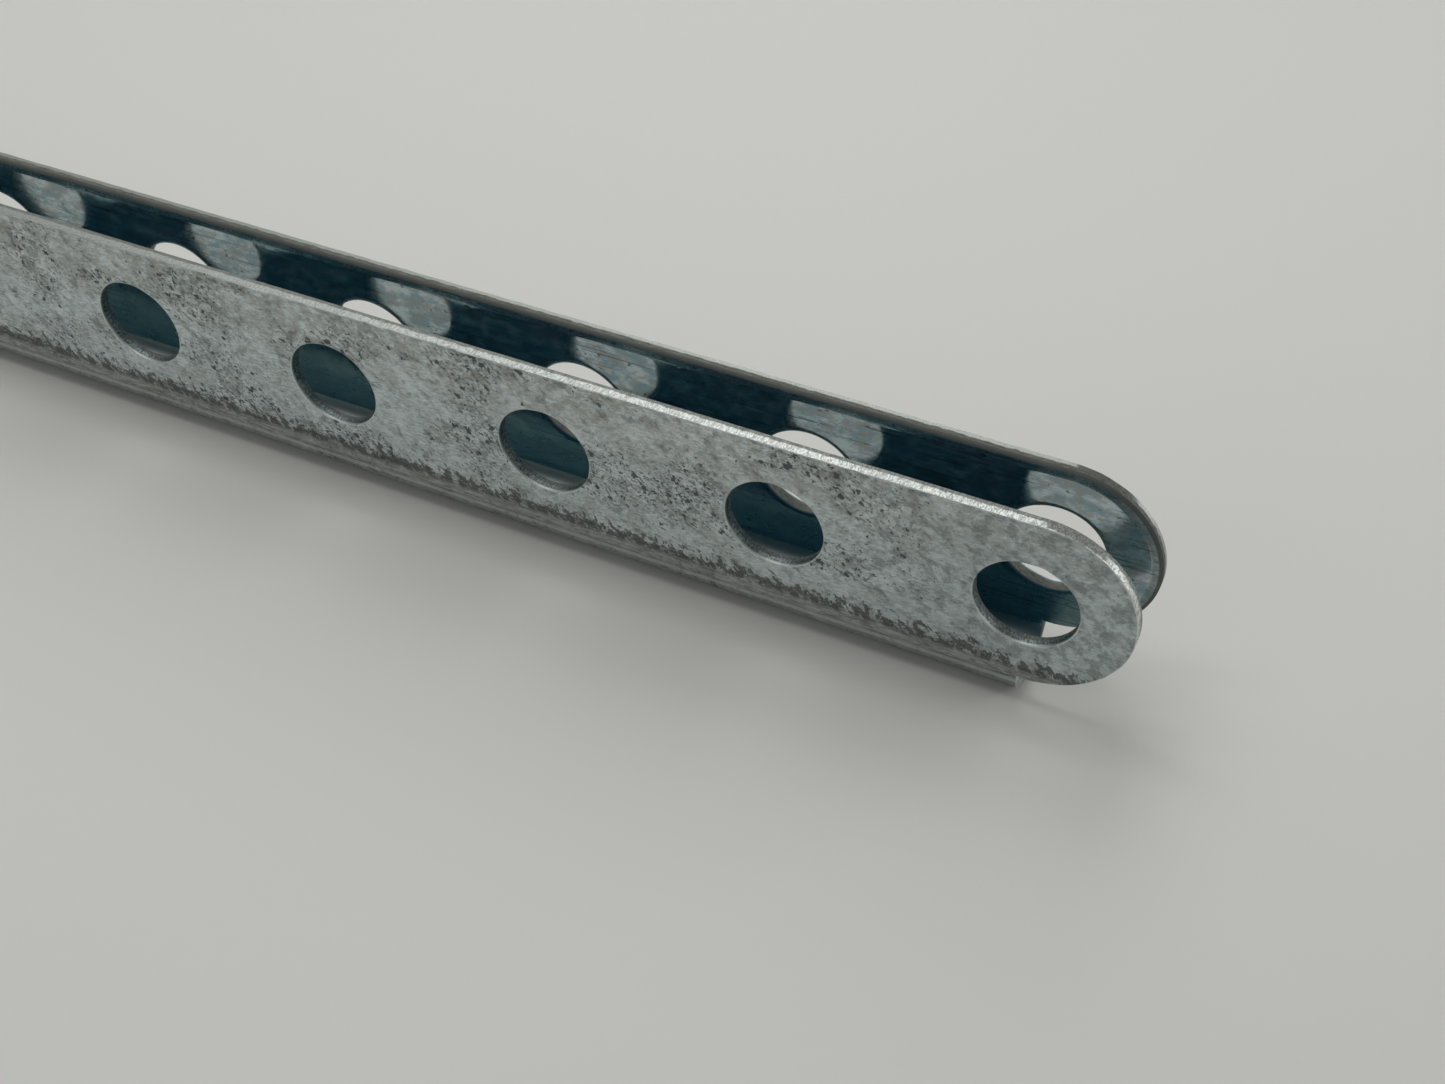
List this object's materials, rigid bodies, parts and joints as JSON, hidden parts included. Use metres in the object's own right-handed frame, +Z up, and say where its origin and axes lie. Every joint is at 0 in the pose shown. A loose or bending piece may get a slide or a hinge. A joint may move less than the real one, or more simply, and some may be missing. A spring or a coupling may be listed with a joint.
{
  "type": "perforated clevis channel",
  "caption": "Zinc-coated sheet-steel U-channel with aligned cross holes through both flanges and full-round ears at its ends, for pinning a link or rod at a chosen hole.",
  "frame": {"origin": "middle of the web's underside, halfway along the channel", "axes": "+X along the channel, +Y across it from the near flange to the far one, +Z up out of the open side"},
  "size_m": [0.1966, 0.0074, 0.0185],
  "materials": {
    "galvanised_steel": "zinc-coated sheet, mottled blue-grey with dark specks, bare sheared edges"
  },
  "bodies": {
    "root": {"perforated_channel": "galvanised_steel"}
  },
  "joints": []
}
